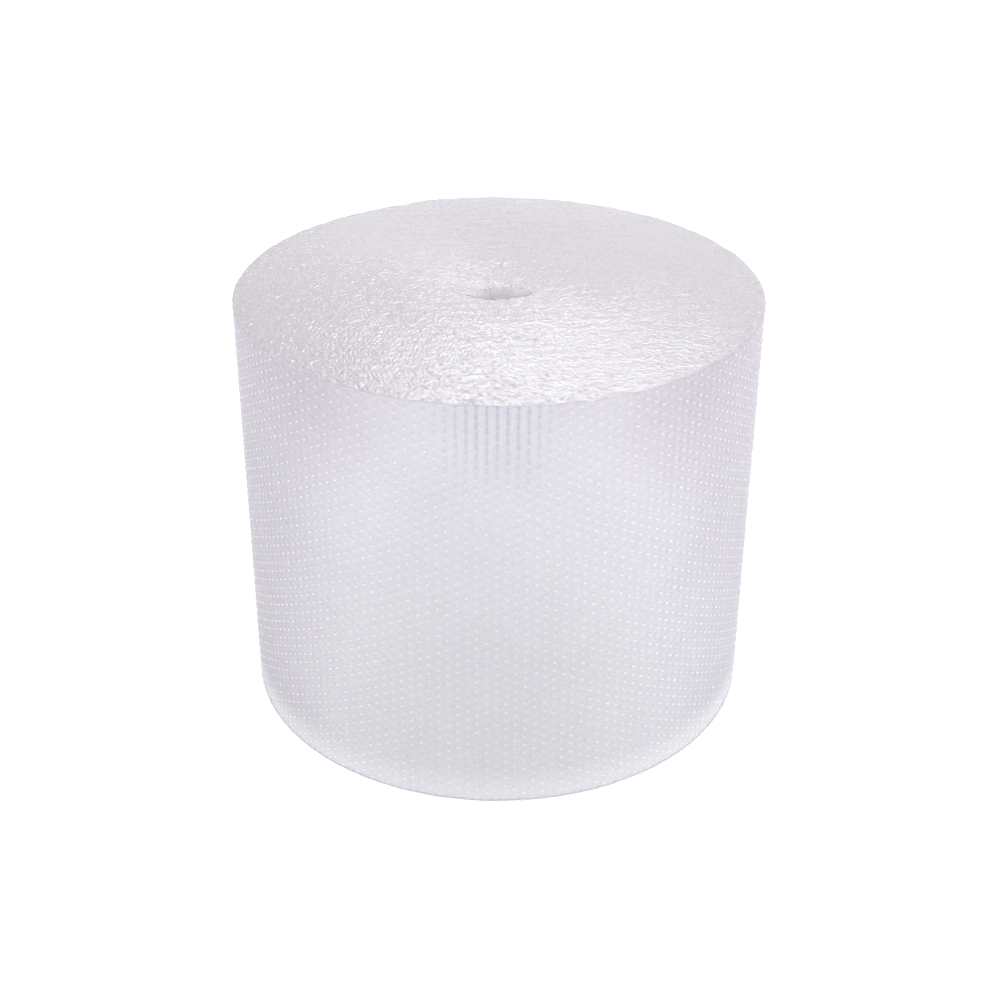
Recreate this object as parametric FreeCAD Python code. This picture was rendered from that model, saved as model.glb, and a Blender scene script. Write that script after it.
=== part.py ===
import FreeCAD, Part
import math
import os

# Roll of bubble film that stands on its end.
# The origin is on the roll's axis, in the plane that it stands on. +Z runs up the axis,
# +X is to the right and -Y to the front of the roll.

# Driving dimensions, in millimetres and degrees
film_width = 500.0        # the film's width, which is the standing roll's height
roll_radius = 304.0       # from the axis to the bubble tops of the last turn, at its free edge
free_edge_angle = 112.0   # where that edge is, counter-clockwise from +X: at the back
film_step = 3.0           # how far the free edge stands out of the turn below
column_spacing = 10.7     # from one column of bubbles to the next, around the roll
bubble_height = 3.0       # how far a bubble stands out of the flat film
bubble_top_width = 4.6    # the flattened top of a bubble, around the roll
turn_pitch = 17.0         # from one raised band of packed turns to the next, on an end face
sunk_band_width = 7.0     # the band between them, where the turns lie deeper
sunk_band_depth = 3.0     # and how much deeper
flats_per_turn = 48       # the film runs in short flats, from bubble to bubble
rim_width = 10.0          # the flat rim that the roll stands on, at its narrowest
mouth_slope = 63.0        # width of the sloping ring around the hollow, at the hollow's tips
mouth_depth = 8.0         # how far the innermost turns have sunk into the roll
hollow_length = 74.0      # the flattened hollow in the middle, from tip to tip
hollow_width = 52.0       # and across it
hollow_angle = 12.0       # from +X to its long way, counter-clockwise

# Worked out from the driving dimensions
columns = round(2.0 * math.pi * roll_radius / column_spacing)
film_radius = roll_radius - bubble_height
mouth_radius = hollow_length / 2.0 + mouth_slope
band_room = film_radius - film_step - rim_width - mouth_radius - sunk_band_width

base = FreeCAD.Vector(0.0, 0.0, 0.0)
up = FreeCAD.Vector(0.0, 0.0, 1.0)


def on_turn(radius, turns):
    # A point in the base plane, so many turns on from the free edge's direction.
    angle = math.radians(free_edge_angle) + 2.0 * math.pi * turns
    return FreeCAD.Vector(radius * math.cos(angle), radius * math.sin(angle), 0.0)


def closed_face(corners):
    return Part.Face(Part.makePolygon(corners + corners[:1]))


def ridged_wall():
    # Each column of bubbles is one ridge of the wall, with a bubble's sloping sides and flat top.
    # The last turn climbs by one film step, from where it lies on the turn below to its free edge.
    top_half = bubble_top_width / column_spacing / 2.0
    ridge = ((0.0, 0.0), (0.5 - top_half, bubble_height), (0.5 + top_half, bubble_height))
    corners = []
    for column in range(columns):
        for share, rise in ridge:
            turns = (column + share) / columns
            corners.append(on_turn(film_radius - film_step * (1.0 - turns) + rise, turns))
    corners.append(on_turn(film_radius, 1.0))
    return closed_face(corners).extrude(up * film_width)


def sunk_band():
    # One spiral band, from the mouth's rim out to the flat rim.
    flats = int(flats_per_turn * band_room / turn_pitch)
    inner, outer = [], []
    for flat in range(flats + 1):
        turns = flat / flats_per_turn
        radius = mouth_radius + turn_pitch * turns
        inner.append(on_turn(radius, turns))
        outer.append(on_turn(radius + sunk_band_width, turns))
    return closed_face(inner + outer[::-1]).extrude(up * sunk_band_depth)


def mouth():
    # The ring where the end face slopes down to the hollow.
    return Part.makeCone(mouth_radius, hollow_width / 2.0, mouth_depth)


def hollow():
    # The roll has no core: the innermost turn has been pressed flat, to a lens.
    tip = FreeCAD.Vector(hollow_length / 2.0, 0.0, 0.0)
    side = FreeCAD.Vector(0.0, hollow_width / 2.0, 0.0)
    walls = [Part.Arc(tip, side, -tip).toShape(), Part.Arc(-tip, -side, tip).toShape()]
    lens = Part.Face(Part.Wire(walls)).extrude(up * film_width)
    lens.rotate(base, up, hollow_angle)
    return lens


def bubble_roll():
    # What sinks into the base is mirrored about the middle of the film to sink into the top.
    low_cuts = [sunk_band(), mouth()]
    top_cuts = [cut.mirror(up * (film_width / 2.0), up) for cut in low_cuts]
    return ridged_wall().cut(low_cuts + top_cuts + [hollow()])


os.makedirs("parts", exist_ok=True)
bubble_roll().exportStep("parts/bubble_roll.step")
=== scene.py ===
import math

import bpy
import numpy as np
from mathutils import Matrix, Vector


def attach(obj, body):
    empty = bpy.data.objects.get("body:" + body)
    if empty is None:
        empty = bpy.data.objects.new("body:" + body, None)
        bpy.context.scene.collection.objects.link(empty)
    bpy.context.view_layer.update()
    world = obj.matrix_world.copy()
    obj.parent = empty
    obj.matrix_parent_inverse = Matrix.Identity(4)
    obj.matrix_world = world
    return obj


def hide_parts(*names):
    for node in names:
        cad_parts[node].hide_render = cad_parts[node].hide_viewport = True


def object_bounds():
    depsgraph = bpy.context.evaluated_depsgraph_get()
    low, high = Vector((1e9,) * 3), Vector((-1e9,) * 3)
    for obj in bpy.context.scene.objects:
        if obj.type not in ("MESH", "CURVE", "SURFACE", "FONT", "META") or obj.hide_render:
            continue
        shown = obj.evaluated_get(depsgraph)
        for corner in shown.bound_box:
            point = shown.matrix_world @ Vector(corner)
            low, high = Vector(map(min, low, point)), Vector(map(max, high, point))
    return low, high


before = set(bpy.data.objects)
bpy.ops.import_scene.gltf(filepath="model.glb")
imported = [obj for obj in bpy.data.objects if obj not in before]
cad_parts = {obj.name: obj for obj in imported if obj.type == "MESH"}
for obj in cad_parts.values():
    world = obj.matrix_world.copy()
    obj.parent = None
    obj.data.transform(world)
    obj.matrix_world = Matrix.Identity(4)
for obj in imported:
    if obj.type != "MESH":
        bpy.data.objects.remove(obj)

cad_low, cad_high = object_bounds()

# The roll, in metres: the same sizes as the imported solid's
FILM_WIDTH = cad_high[2] - cad_low[2]
ROLL_RADIUS = 0.304
FREE_EDGE_ANGLE = math.radians(112.0)
TURN_THICKNESS = 0.003
COLUMN_SPACING = 0.0107
MOUTH_RADIUS = 0.100
HOLLOW_LENGTH = 0.074
HOLLOW_WIDTH = 0.052
HOLLOW_ANGLE = math.radians(12.0)
LEAST_TURN_RADIUS = 0.033

# The last turn: its bubbles, and how unevenly they are filled
ROWS = 44
BUBBLE_RADIUS = 0.005
BUBBLE_HEIGHT = 0.0012
DOME_RINGS = ((1.0, 0.0), (0.75, 0.70), (0.42, 0.95))
LEAST_FILLED = 0.82
TOP_SHIFT = 0.0006
FILM_WAVE = 0.00015
FREE_STRIP = 0.009
FREE_STRIP_DROP = 0.0007
WELD_STEP = 0.00002

# The turns below it
RIDGE_DEPTH = 0.0005
GROOVE_DEPTH = 0.0009
INNER_EDGE_DEPTH = 0.0003

# The end faces: the turns' edges, their crumple and the sunken mouth
RIM_WAVE = 0.0007
RIM_WAVE_REACH = 0.012
RIM_ROUNDING = 0.006
EDGE_DEPTH = 0.0009
EDGE_LEAN = 0.00024
EDGE_NOISE = 0.055
MOUTH_NOISE = 1.5
CRUMPLE_NOISE = 0.095
CALM_START = 0.19
CALM_REACH = 0.09
CALM_SHARE = 0.25
COARSE_TO = 0.15
TOP_SAMPLES = 534
TOP_OFFSETS = (0.0, 0.85)
BASE_SAMPLES = 400
BASE_OFFSETS = (0.0,)
SINK_FRONT = 0.002
SINK_BACK = 0.0115
LIP_BACK = 0.004
RAGGED = 0.0018

# The hollow's crumpled wall
FOLD_DEPTH = 0.0055
FOLD_UNEVEN = 0.002
CREASE_UNEVEN = 0.0014

# Worked out from those
FILM_RADIUS = ROLL_RADIUS - BUBBLE_HEIGHT
COLUMNS = round(2 * math.pi * ROLL_RADIUS / COLUMN_SPACING)
ROW_PITCH = FILM_WIDTH / ROWS
TURNS = int((FILM_RADIUS - LEAST_TURN_RADIUS) / TURN_THICKNESS)
INNERMOST = FILM_RADIUS - TURNS * TURN_THICKNESS

NODE = "bubble_roll"

# Tones of the film: a pair is the darker and the lighter end of its mottling
CLEAR_TONES = ((0.81, 0.79, 0.845), (0.85, 0.835, 0.88))
CLEAR_ALPHA = 0.34
# Painted highlight: the light dashes on the bubbles, and how much less clear the film is there
HIGHLIGHT_DASH_TONE = (0.94, 0.905, 0.92)
HIGHLIGHT_DASH_ALPHA = 0.60
MILKY_TONES = ((0.80, 0.78, 0.84), (0.845, 0.83, 0.88))
# Painted shade: darker towards the flanks
FLANK_SHADE_TONE = (0.53, 0.50, 0.56)
# Painted shade under the rim
UNDER_RIM_SHADE_TONE = (0.56, 0.50, 0.60)
# Painted shade between the columns under the front's rim
COLUMN_GAP_SHADE_TONE = (0.56, 0.55, 0.65)
# Painted shade: a darker spot low on the front, and its tone
LOW_SHADE_SPOT = (0.01, -0.30, 0.09)
LOW_SHADE_TONE = (0.72, 0.705, 0.74)
# Painted light: lighter at the foot, as if lit from the floor
FOOT_BOUNCE_LIGHT_TONE = (0.93, 0.92, 0.94)
EDGE_TONES = ((0.52, 0.495, 0.535), (0.635, 0.61, 0.655))
# Painted shade: darker towards the back of the end faces
FAR_SIDE_SHADE_TONE = (0.45, 0.43, 0.47)
HOLLOW_TONES = ((0.82, 0.785, 0.81), (0.90, 0.87, 0.90))

# Each lamp's name, place, what it faces, size and power
LAMPS = (
    ("back_light", (0.17, 0.92, FILM_WIDTH + 1.06), (0.055, -0.137, FILM_WIDTH), (0.95, 0.25), 12.6),
    ("left_light", (-2.0, 0.18, 0.90), (0.0, 0.0, 0.25), (1.2, 0.9), 8.5),
    ("right_light", (2.0, 0.18, 0.90), (0.0, 0.0, 0.25), (1.2, 0.9), 11.5),
    ("front_light", (0.3, -3.8, 1.6), (0.0, 0.0, 0.25), (4.5, 2.6), 40.0),
)
FLOOR_REACH = 30.0

# The camera, as it stood for the photograph
LENS = 60.76
CAMERA_TARGET = Vector((0.003, 0.0, 0.2206))
CAMERA_DISTANCE = 2.064
CAMERA_ELEVATION = math.radians(29.79)
CAMERA_ROLL = math.radians(0.3)
SENSOR_WIDTH = 36.0

rng = np.random.default_rng(11)


def smooth_noise(x, y, seed, octaves=3):
    """A sum of sine waves in mixed directions, between about -1 and 1, with a period of about 1."""
    waves = np.random.default_rng(seed)
    total = np.zeros_like(np.asarray(x, dtype=float) + np.asarray(y, dtype=float))
    weight = 0.0
    for octave in range(octaves):
        for _ in range(4):
            heading = waves.uniform(0, 2 * math.pi)
            rate = 2 * math.pi * 2 ** octave * waves.uniform(0.7, 1.3)
            phase = waves.uniform(0, 2 * math.pi)
            share = 0.5 ** octave
            total += share * np.sin(rate * (x * math.cos(heading) + y * math.sin(heading)) + phase)
            weight += share
    return total / weight * 2.0


def rim_wave(angle):
    """How far the film's edge stands above or below the flat end, around the roll."""
    return RIM_WAVE * smooth_noise(np.cos(angle) * 6, np.sin(angle) * 6, 31, 2) - RIM_WAVE


# Meshes
def mesh_piece(name, points, faces, material, smooth=True):
    mesh = bpy.data.meshes.new(name)
    mesh.from_pydata([tuple(p) for p in points], [], [tuple(f) for f in faces])
    mesh.polygons.foreach_set("use_smooth", np.broadcast_to(smooth, len(faces)))
    mesh.validate()
    piece = bpy.data.objects.new(name, mesh)
    bpy.context.scene.collection.objects.link(piece)
    mesh.materials.append(material)
    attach(piece, "root")
    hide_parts(NODE)


def grid_faces(across, up):
    """Four-sided faces between the points of a grid that was laid out row by row."""
    faces = []
    for j in range(up - 1):
        for i in range(across - 1):
            a = j * across + i
            faces.append((a, a + 1, a + across + 1, a + across))
    return faces


def welded(points, faces):
    """Joins the points that lie in one place."""
    keys = np.round(points / WELD_STEP).astype(np.int64)
    _, first, where = np.unique(keys, axis=0, return_index=True, return_inverse=True)
    return points[first], where.reshape(-1)[faces]


# The last turn, with its bubbles
def cell_corners():
    """Directions and distances of a bubble cell's 12 border points: 6 corners and 6 edge middles."""
    half_row = ROW_PITCH / 2
    across = (COLUMN_SPACING ** 2 - half_row ** 2) / (2 * COLUMN_SPACING)
    along = (COLUMN_SPACING ** 2 + half_row ** 2) / (2 * COLUMN_SPACING)
    corners = [
        (along, 0.0), (across, half_row), (-across, half_row),
        (-along, 0.0), (-across, -half_row), (across, -half_row),
    ]
    border = []
    for corner, following in zip(corners, corners[1:] + corners[:1]):
        border.append(corner)
        border.append(((corner[0] + following[0]) / 2, (corner[1] + following[1]) / 2))
    return np.array(border)


def bubble_cell(full, side):
    """Points (along, up, out), triangles and which of them are smooth.

    A cell that isn't full is cut in half, and keeps its upper (1) or lower (-1) side.
    """
    border = cell_corners()
    if full:
        turn = list(range(12))
    else:
        turn = list(range(0, 7)) if side > 0 else [6, 7, 8, 9, 10, 11, 0]
    border = border[turn]
    headings = border / np.linalg.norm(border, axis=1)[:, None]
    rings = [np.column_stack([border, np.zeros(len(turn))])]
    for share, height in DOME_RINGS:
        ring = headings * BUBBLE_RADIUS * share
        rings.append(np.column_stack([ring, np.full(len(turn), height * BUBBLE_HEIGHT)]))
    points = np.vstack(rings + [np.array([[0.0, 0.0, BUBBLE_HEIGHT]])])
    count = len(turn)
    steps = count if full else count - 1
    faces = []
    for ring in range(len(rings) - 1):
        for i in range(steps):
            a, b = ring * count + i, ring * count + (i + 1) % count
            faces += [(a, b, b + count), (a, b + count, a + count)]
    last = (len(rings) - 1) * count
    top = len(points) - 1
    faces += [(last + i, last + (i + 1) % count, top) for i in range(steps)]
    smooth = np.ones(len(faces), dtype=bool)
    smooth[2 * steps:4 * steps] = False
    return points, np.array(faces), smooth


def film_points(along, up, out):
    """From the flat film to the roll: along the last turn from its start, up from the base, out."""
    turn = along / (COLUMNS * COLUMN_SPACING)
    angle = FREE_EDGE_ANGLE + 2 * math.pi * turn
    radius = FILM_RADIUS - TURN_THICKNESS * (1 - turn) + out
    return np.column_stack([radius * np.cos(angle), radius * np.sin(angle), up])


def bubble_film(name, first, last, material):
    whole, upper, lower = bubble_cell(True, 0), bubble_cell(False, 1), bubble_cell(False, -1)
    points, faces, smooth, offset = [], [], [], 0
    for column in range(first, last):
        middle = (column + 0.5) * COLUMN_SPACING
        if column % 2 == 0:
            cells = [(row + 0.5, whole) for row in range(ROWS)]
        else:
            cells = [(0, upper)] + [(row, whole) for row in range(1, ROWS)] + [(ROWS, lower)]
        for row, (shape, triangles, soft) in cells:
            cell = shape.copy()
            cell[:, 2] *= rng.uniform(LEAST_FILLED, 1.0)
            cell[-1, :2] += rng.uniform(-TOP_SHIFT, TOP_SHIFT, 2)
            if row in (0, ROWS):
                cell[-1, 1] = 0.0
            cell[:, 0] += middle
            cell[:, 1] += row * ROW_PITCH
            points.append(cell)
            faces.append(triangles + offset)
            smooth.append(soft)
            offset += len(cell)
    points, faces = welded(np.vstack(points), np.vstack(faces))
    along, up, out = points.T
    out = out + FILM_WAVE * smooth_noise(along / 0.09, up / 0.11, 3)
    angle = FREE_EDGE_ANGLE + along / (COLUMNS * COLUMN_SPACING) * 2 * math.pi
    up = up + rim_wave(angle) * np.clip(1 - (FILM_WIDTH - up) / RIM_WAVE_REACH, 0, 1)
    mesh_piece(name, film_points(along, up, out), faces, material, np.concatenate(smooth))


def make_last_turn(material):
    quarter = math.ceil(COLUMNS / 4)
    names = ("film_left", "film_front", "film_right", "film_back")
    for i, name in enumerate(names):
        first = -1 if i == 0 else i * quarter
        bubble_film(name, first, min((i + 1) * quarter, COLUMNS), material)


def make_free_edge(material):
    """The plain strip past the last column of bubbles, which lies down on the turn below."""
    across, up = 7, 90
    reach, height = np.meshgrid(np.linspace(0, FREE_STRIP, across), np.linspace(0, FILM_WIDTH, up))
    share = reach / FREE_STRIP
    uneven = 0.0002 * share * smooth_noise(0 * reach, height / 0.06, 61)
    drop = FREE_STRIP_DROP * (1 - np.cos(math.pi * share)) + uneven
    height = height + np.where(height == FILM_WIDTH, rim_wave(FREE_EDGE_ANGLE), 0.0)
    points = film_points((COLUMNS * COLUMN_SPACING + reach).ravel(), height.ravel(), -drop.ravel())
    mesh_piece("film_free_edge", points, grid_faces(across, up), material)


# The turns below the last one, seen through it
def make_inner_wall(material):
    across, up = COLUMNS * 2 + 1, 12
    along = np.arange(across) * COLUMN_SPACING / 2
    grid_along, grid_up = np.meshgrid(along, np.linspace(0, FILM_WIDTH, up))
    angle = FREE_EDGE_ANGLE + 2 * math.pi * grid_along / (COLUMNS * COLUMN_SPACING)
    grid_up = grid_up + np.where(grid_up == FILM_WIDTH, rim_wave(angle) - INNER_EDGE_DEPTH, 0.0)
    ridge = np.arange(across) % 2
    depth = np.broadcast_to(-RIDGE_DEPTH - GROOVE_DEPTH * (1 - ridge), grid_along.shape)
    points = film_points(grid_along.ravel(), grid_up.ravel(), depth.ravel())
    mesh_piece("inner_turns", points, grid_faces(across, up), material)


# The end faces
def lens_radius(angle):
    """Distance from the axis to the hollow's wall, in each direction."""
    tip, side = HOLLOW_LENGTH / 2, HOLLOW_WIDTH / 2
    arc = (tip ** 2 + side ** 2) / (2 * side)
    middle = arc - side
    cross = middle * np.abs(np.sin(angle - HOLLOW_ANGLE))
    return -cross + np.sqrt(cross ** 2 + arc ** 2 - middle ** 2)


def sink(angle, radius_share):
    """How deep the turns have sunk around the hollow: most at the back, and nothing at the mouth's rim."""
    back = (0.5 + 0.5 * np.sin(angle)) ** 1.5
    lip = LIP_BACK * back * (1 - radius_share) ** 9
    return (SINK_FRONT + (SINK_BACK - SINK_FRONT) * back) * (1 - radius_share) ** 1.1 + lip


def end_radius(angle, wound):
    """From a turn's radius to its place: the hollow's lens at first, and round past the mouth."""
    inside = np.clip((wound - INNERMOST) / (MOUTH_RADIUS - INNERMOST), 0, 1)
    ragged = RAGGED * smooth_noise(np.cos(angle) * 1.1, np.sin(angle) * 1.1, 51) * (1 - inside) ** 3
    in_mouth = lens_radius(angle) * (1 - inside) + MOUTH_RADIUS * inside
    return inside, np.where(inside < 1, in_mouth, wound) + ragged


def crumple(x, y):
    """The uneven edges of the film, as heights."""
    fine = smooth_noise(x / 0.0055, y / 0.0055, 41, 2) * 0.0065
    coarse = smooth_noise(x / 0.020, y / 0.020, 42, 2) * 0.015
    return CRUMPLE_NOISE * (fine + coarse) / (2 * math.pi)


def end_face(name, material, top, offsets, samples):
    """The turns' edges: one row of points a turn at each offset, which is a share of its thickness."""
    per_turn = len(offsets)
    rows = (TURNS - 1) * per_turn + 1
    row_start = [
        INNERMOST + TURN_THICKNESS * (row // per_turn + offsets[row % per_turn]) for row in range(rows)
    ]
    counts = [samples if radius > COARSE_TO else samples // 2 for radius in row_start]
    shares, row_of, index, total = [], [], [], 0
    for row, count in enumerate(counts):
        shares.append(np.arange(count) / count)
        row_of.append(np.full(count, row))
        index.append(list(range(total, total + count)))
        total += count
    # The last point of a row is the first of the row one turn further out.
    for row in range(rows):
        if row + per_turn < rows:
            index[row].append(index[row + per_turn][0])
        else:
            index[row].append(total)
            shares.append(np.array([1.0]))
            row_of.append(np.array([row]))
            total += 1
    share, row_of = np.concatenate(shares), np.concatenate(row_of)
    angle = FREE_EDGE_ANGLE + 2 * math.pi * share
    wound = np.array(row_start)[row_of] + TURN_THICKNESS * share
    inside, radius = end_radius(angle, wound)
    spacing = 2 * math.pi * wound / np.array(counts)[row_of]
    rim = np.clip((FILM_RADIUS - wound) / RIM_ROUNDING, 0, 1)
    # The short step up to the next turn keeps its height all along.
    uneven = rng.normal(0, 1, (rows // per_turn + 2, samples + 1))
    place = np.round(share * np.array(counts)[row_of]).astype(int)
    uneven = uneven[(row_of + per_turn - 1) // per_turn, place]
    calm = 1 - CALM_SHARE * np.clip((wound - CALM_START) / CALM_REACH, 0, 1)
    rough = EDGE_NOISE * (1 + MOUTH_NOISE * (1 - inside)) * calm
    depth = EDGE_LEAN * np.array(offsets)[row_of % per_turn] + rough * spacing * uneven
    x, y = radius * np.cos(angle), radius * np.sin(angle)
    depth += EDGE_DEPTH + crumple(x, y) * calm
    depth = rim * np.maximum(depth, 0.0) + sink(angle, inside)
    depth -= rim_wave(angle) * np.clip(1 - (FILM_RADIUS - wound) / RIM_WAVE_REACH, 0, 1)
    radius = radius + (1 - rim) * 0.0004
    height = FILM_WIDTH - depth if top else depth
    points = np.column_stack([radius * np.cos(angle), radius * np.sin(angle), height])
    faces = []
    for row in range(rows - 1):
        inner, outer = index[row], index[row + 1]
        if len(inner) == len(outer):
            for i in range(len(inner) - 1):
                faces.append((inner[i], outer[i], outer[i + 1]))
                faces.append((inner[i], outer[i + 1], inner[i + 1]))
        else:
            for i in range(len(inner) - 1):
                a, b, c = outer[2 * i:2 * i + 3]
                faces += [(inner[i], a, b), (inner[i], b, inner[i + 1]), (inner[i + 1], b, c)]
    faces = np.array(faces)
    if not top:
        faces = faces[:, ::-1]
    mesh_piece(name, points, faces, material, False)


def make_hollow_wall(material):
    around, up = 240, 60
    turn = np.arange(around) / around
    angle = FREE_EDGE_ANGLE + 2 * math.pi * turn
    inside, rim = end_radius(angle, INNERMOST + TURN_THICKNESS * turn)
    low = sink(angle, inside)
    share = np.linspace(0, 1, up)[:, None]
    height = low + (FILM_WIDTH - 2 * low) * share
    folds = smooth_noise(np.cos(angle) * 1.2, np.sin(angle) * 1.2 + height / 0.25, 21)
    crease = smooth_noise(angle / 0.5 + 0 * height, height / 0.03, 22)
    middle = np.sin(math.pi * share) ** 0.25
    radius = rim + 0.0002 - middle * (FOLD_DEPTH + FOLD_UNEVEN * folds + CREASE_UNEVEN * crease)
    points = np.column_stack([
        (radius * np.cos(angle)).ravel(), (radius * np.sin(angle)).ravel(), height.ravel(),
    ])
    faces = []
    for j in range(up - 1):
        for i in range(around):
            a, b = j * around + i, j * around + (i + 1) % around
            faces.append((a, a + around, b + around, b))
    mesh_piece("hollow_wall", points, faces, material)


# Materials
def new_material(name, colour, roughness, alpha=1.0, gloss=0.5, ior=1.5):
    material = bpy.data.materials.new(name)
    material.use_nodes = True
    shader = material.node_tree.nodes["Principled BSDF"]
    shader.inputs["Base Color"].default_value = (*colour, 1.0)
    shader.inputs["Roughness"].default_value = roughness
    shader.inputs["IOR"].default_value = ior
    shader.inputs["Specular IOR Level"].default_value = gloss
    shader.inputs["Alpha"].default_value = alpha
    return material, material.node_tree, shader


def placed(tree):
    """Where a point is in the part's frame: as one vector, and along X, Y and Z."""
    place = tree.nodes.new("ShaderNodeTexCoord").outputs["Object"]
    axes = tree.nodes.new("ShaderNodeSeparateXYZ")
    tree.links.new(place, axes.inputs[0])
    return place, axes.outputs["X"], axes.outputs["Y"], axes.outputs["Z"]


def noise(tree, scale, detail):
    place = tree.nodes.new("ShaderNodeTexCoord")
    texture = tree.nodes.new("ShaderNodeTexNoise")
    texture.inputs["Scale"].default_value = scale
    texture.inputs["Detail"].default_value = detail
    tree.links.new(place.outputs["Object"], texture.inputs["Vector"])
    return texture.outputs["Fac"]


def mottled(tree, scale, detail, tones):
    """Two tones, mixed by noise."""
    node = tree.nodes.new("ShaderNodeValToRGB")
    for element, position, tone in zip(node.color_ramp.elements, (0.3, 0.7), tones):
        element.position = position
        element.color = (*tone, 1.0)
    tree.links.new(noise(tree, scale, detail), node.inputs["Fac"])
    return node.outputs["Color"]


def maths(tree, operation, *values):
    node = tree.nodes.new("ShaderNodeMath")
    node.operation = operation
    for i, value in enumerate(values):
        tree.links.new(value, node.inputs[i])
    return node.outputs[0]


def product(tree, first, *others):
    for other in others:
        first = maths(tree, "MULTIPLY", first, other)
    return first


def scaled(tree, value, factor):
    node = tree.nodes.new("ShaderNodeMath")
    node.operation = "MULTIPLY"
    node.inputs[1].default_value = factor
    tree.links.new(value, node.inputs[0])
    return node.outputs[0]


def mapped(tree, value, start, end, low=0.0, high=1.0):
    """From low at the value start to high at the value end, with soft ends."""
    node = tree.nodes.new("ShaderNodeMapRange")
    node.interpolation_type = "SMOOTHSTEP"
    for name, number in zip(("From Min", "From Max", "To Min", "To Max"), (start, end, low, high)):
        node.inputs[name].default_value = number
    tree.links.new(value, node.inputs["Value"])
    return node.outputs["Result"]


def shaded(tree, tone, share, colour):
    """The tone, with a share of another colour mixed in."""
    node = tree.nodes.new("ShaderNodeMix")
    node.data_type = "RGBA"
    node.inputs["B"].default_value = (*colour, 1.0)
    tree.links.new(share, node.inputs["Factor"])
    tree.links.new(tone, node.inputs["A"])
    return node.outputs["Result"]


def bump(tree, shader, value, strength, distance):
    node = tree.nodes.new("ShaderNodeBump")
    node.inputs["Strength"].default_value = strength
    node.inputs["Distance"].default_value = distance
    tree.links.new(value, node.inputs["Height"])
    tree.links.new(node.outputs["Normal"], shader.inputs["Normal"])


def film_material():
    material, tree, shader = new_material(
        "bubble_film_outer", (0.83, 0.81, 0.86), 0.28, alpha=CLEAR_ALPHA, gloss=0.6, ior=1.6)
    tone = mottled(tree, 14.0, 4.0, CLEAR_TONES)
    # Painted highlight: a light dash on each bubble, climbing towards the front, also made less clear
    # there. Edge-on, a row of them is a thin line.
    _, x, y, z = placed(tree)
    aside = maths(tree, "ABSOLUTE", x)
    from_front = maths(tree, "ARCTAN2", aside, scaled(tree, y, -1.0))
    climb = maths(tree, "ADD", scaled(tree, z, 2 * math.pi / ROW_PITCH),
                  scaled(tree, from_front, COLUMNS / 2))
    highlight_dashes = product(
        tree,
        mapped(tree, scaled(tree, maths(tree, "COSINE", climb), -1.0), 0.55, 0.95),
        mapped(tree, maths(tree, "COSINE", scaled(tree, from_front, COLUMNS)), -0.2, 0.8),
        mapped(tree, aside, 0.0, 0.28, 0.35, 0.9),
        mapped(tree, noise(tree, 90.0, 2.0), 0.35, 0.6, 0.35, 1.0),
    )
    tone = shaded(tree, tone, highlight_dashes, HIGHLIGHT_DASH_TONE)
    tree.links.new(tone, shader.inputs["Base Color"])
    tree.links.new(mapped(tree, highlight_dashes, 0.0, 1.0, CLEAR_ALPHA, HIGHLIGHT_DASH_ALPHA), shader.inputs["Alpha"])
    bump(tree, shader, noise(tree, 420.0, 3.0), 0.16, 0.0005)
    return material


def inner_material():
    material, tree, shader = new_material("turns_below", (0.77, 0.75, 0.81), 0.5)
    tone = mottled(tree, 9.0, 4.0, MILKY_TONES)
    place, x, y, z = placed(tree)
    aside = maths(tree, "ABSOLUTE", x)
    # Painted shade: darker towards the flanks
    tone = shaded(tree, tone, mapped(tree, aside, 0.12, 0.29), FLANK_SHADE_TONE)
    # Painted shade under the rim, stronger away from the middle
    under_rim_shade = product(tree, mapped(tree, z, 0.34, 0.50), mapped(tree, aside, 0.08, 0.24, 0.12, 1.0))
    tone = shaded(tree, tone, under_rim_shade, UNDER_RIM_SHADE_TONE)
    # Painted shade: dark stripes from column to column, under the front's rim
    turned = maths(tree, "ARCTAN2", y, x)
    column_gap_shade = product(
        tree,
        mapped(tree, maths(tree, "SINE", scaled(tree, turned, COLUMNS)), 0.2, 1.0),
        mapped(tree, z, 0.36, 0.50),
        mapped(tree, aside, 0.02, 0.08, 1.0, 0.0),
        mapped(tree, y, -0.1, 0.0, 1.0, 0.0),
    )
    tone = shaded(tree, tone, column_gap_shade, COLUMN_GAP_SHADE_TONE)
    # Painted shade: darker around a spot low on the front
    low = tree.nodes.new("ShaderNodeVectorMath")
    low.operation = "DISTANCE"
    low.inputs[1].default_value = LOW_SHADE_SPOT
    tree.links.new(place, low.inputs[0])
    tone = shaded(tree, tone, mapped(tree, low.outputs["Value"], 0.04, 0.38, 1.0, 0.0), LOW_SHADE_TONE)
    # Painted light: lighter at the foot, as if lit from the floor
    tone = shaded(tree, tone, mapped(tree, z, 0.0, 0.05, 0.9, 0.0), FOOT_BOUNCE_LIGHT_TONE)
    tree.links.new(tone, shader.inputs["Base Color"])
    return material


def end_material():
    material, tree, shader = new_material("film_edges", (0.56, 0.54, 0.58), 0.28)
    _, _, y, _ = placed(tree)
    tone = mottled(tree, 330.0, 3.0, EDGE_TONES)
    # Painted shade: darker towards the back of the end faces
    tone = shaded(tree, tone, mapped(tree, y, 0.0, 0.24, 0.0, 0.5), FAR_SIDE_SHADE_TONE)
    tree.links.new(tone, shader.inputs["Base Color"])
    bump(tree, shader, noise(tree, 350.0, 2.0), 0.4, 0.0012)
    return material


def hollow_material():
    material, tree, shader = new_material("film_in_hollow", (0.82, 0.78, 0.81), 0.35)
    tree.links.new(mottled(tree, 60.0, 4.0, HOLLOW_TONES), shader.inputs["Base Color"])
    bump(tree, shader, noise(tree, 200.0, 3.0), 0.4, 0.001)
    return material


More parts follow.
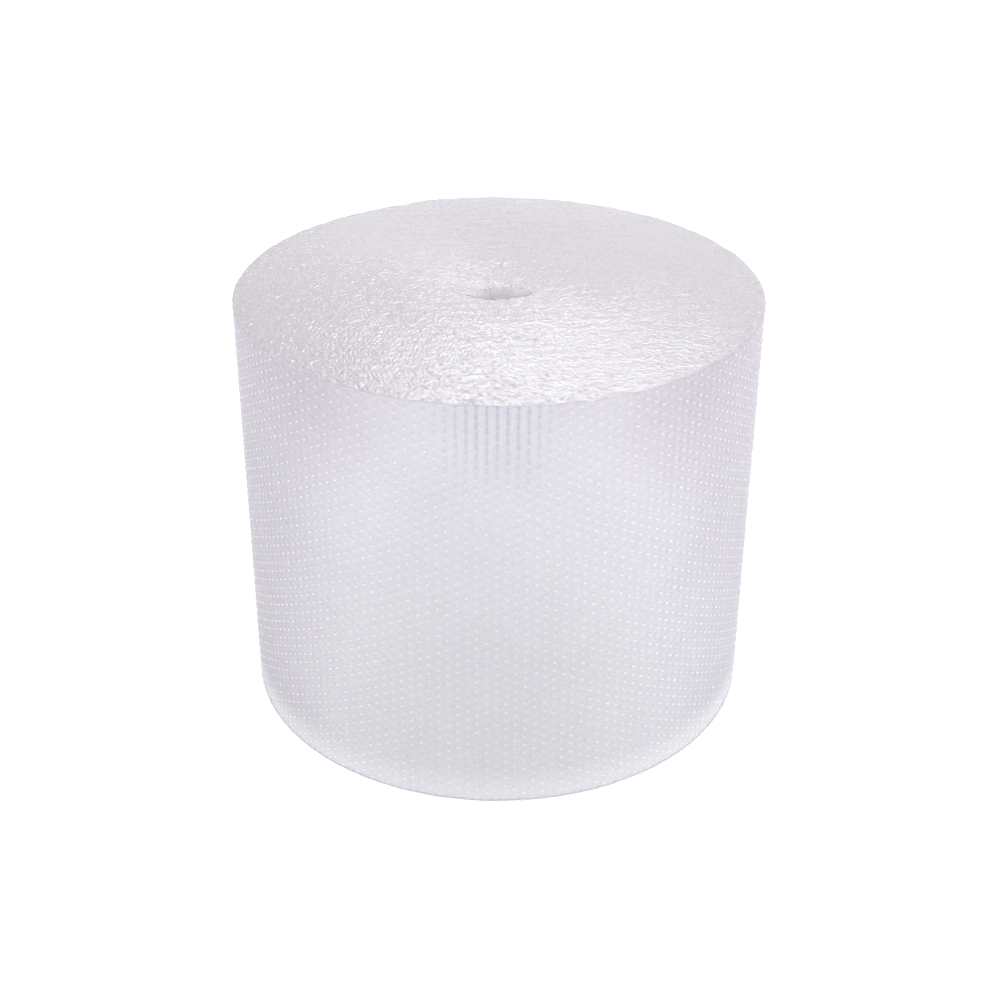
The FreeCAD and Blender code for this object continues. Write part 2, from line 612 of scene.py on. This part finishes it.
# The surroundings
def by_view(tree, otherwise, directly):
    """One value for lighting and reflections, and another for what the camera sees itself."""
    seen = tree.nodes.new("ShaderNodeLightPath").outputs["Is Camera Ray"]
    value = tree.nodes.new("ShaderNodeMapRange")
    value.inputs["To Min"].default_value = otherwise
    value.inputs["To Max"].default_value = directly
    tree.links.new(seen, value.inputs["Value"])
    return value.outputs["Result"]


def make_floor():
    material = bpy.data.materials.new("floor")
    material.use_nodes = True
    tree = material.node_tree
    shader = tree.nodes["Principled BSDF"]
    shader.inputs["Base Color"].default_value = (0.86, 0.86, 0.87, 1.0)
    shader.inputs["Roughness"].default_value = 0.9
    shader.inputs["Specular IOR Level"].default_value = 0.0
    shader.inputs["Emission Color"].default_value = (1.0, 1.0, 1.0, 1.0)
    tree.links.new(by_view(tree, 0.30, 0.50), shader.inputs["Emission Strength"])
    mesh = bpy.data.meshes.new("floor")
    corners = [(-1, -1), (1, -1), (1, 1), (-1, 1)]
    mesh.from_pydata([(x * FLOOR_REACH, y * FLOOR_REACH, 0) for x, y in corners], [], [(0, 1, 2, 3)])
    mesh.materials.append(material)
    floor = bpy.data.objects.new("floor", mesh)
    bpy.context.scene.collection.objects.link(floor)


def make_world():
    world = bpy.data.worlds.new("studio")
    world.use_nodes = True
    bpy.context.scene.world = world
    tree = world.node_tree
    background = tree.nodes["Background"]
    background.inputs["Color"].default_value = (1.0, 1.0, 1.0, 1.0)
    tree.links.new(by_view(tree, 0.62, 1.0), background.inputs["Strength"])


def area_light(name, place, target, size, power):
    light = bpy.data.lights.new(name, "AREA")
    light.shape = "RECTANGLE"
    light.size, light.size_y = size
    light.energy = power
    lamp = bpy.data.objects.new(name, light)
    bpy.context.scene.collection.objects.link(lamp)
    lamp.location = place
    lamp.rotation_euler = (Vector(target) - Vector(place)).to_track_quat("-Z", "Y").to_euler()
    lamp.visible_camera = False


def make_camera():
    camera_data = bpy.data.cameras.new("camera")
    camera_data.lens = LENS
    camera_data.sensor_width = SENSOR_WIDTH
    camera_data.sensor_fit = "HORIZONTAL"
    camera = bpy.data.objects.new("camera", camera_data)
    bpy.context.scene.collection.objects.link(camera)
    back = Vector((0.0, -math.cos(CAMERA_ELEVATION), math.sin(CAMERA_ELEVATION)))
    upright = (-back).to_track_quat("-Z", "Y").to_matrix().to_4x4()
    roll = Matrix.Rotation(CAMERA_ROLL, 4, "Z")
    camera.matrix_world = Matrix.Translation(CAMERA_TARGET + back * CAMERA_DISTANCE) @ upright @ roll
    bpy.context.scene.camera = camera


bpy.context.scene.view_settings.view_transform = "Standard"
make_camera()
clear_film = film_material()
make_last_turn(clear_film)
make_free_edge(clear_film)
make_inner_wall(inner_material())
film_edges = end_material()
end_face("end_top", film_edges, True, TOP_OFFSETS, TOP_SAMPLES)
end_face("end_base", film_edges, False, BASE_OFFSETS, BASE_SAMPLES)
make_hollow_wall(hollow_material())
make_floor()
make_world()
for lamp in LAMPS:
    area_light(*lamp)
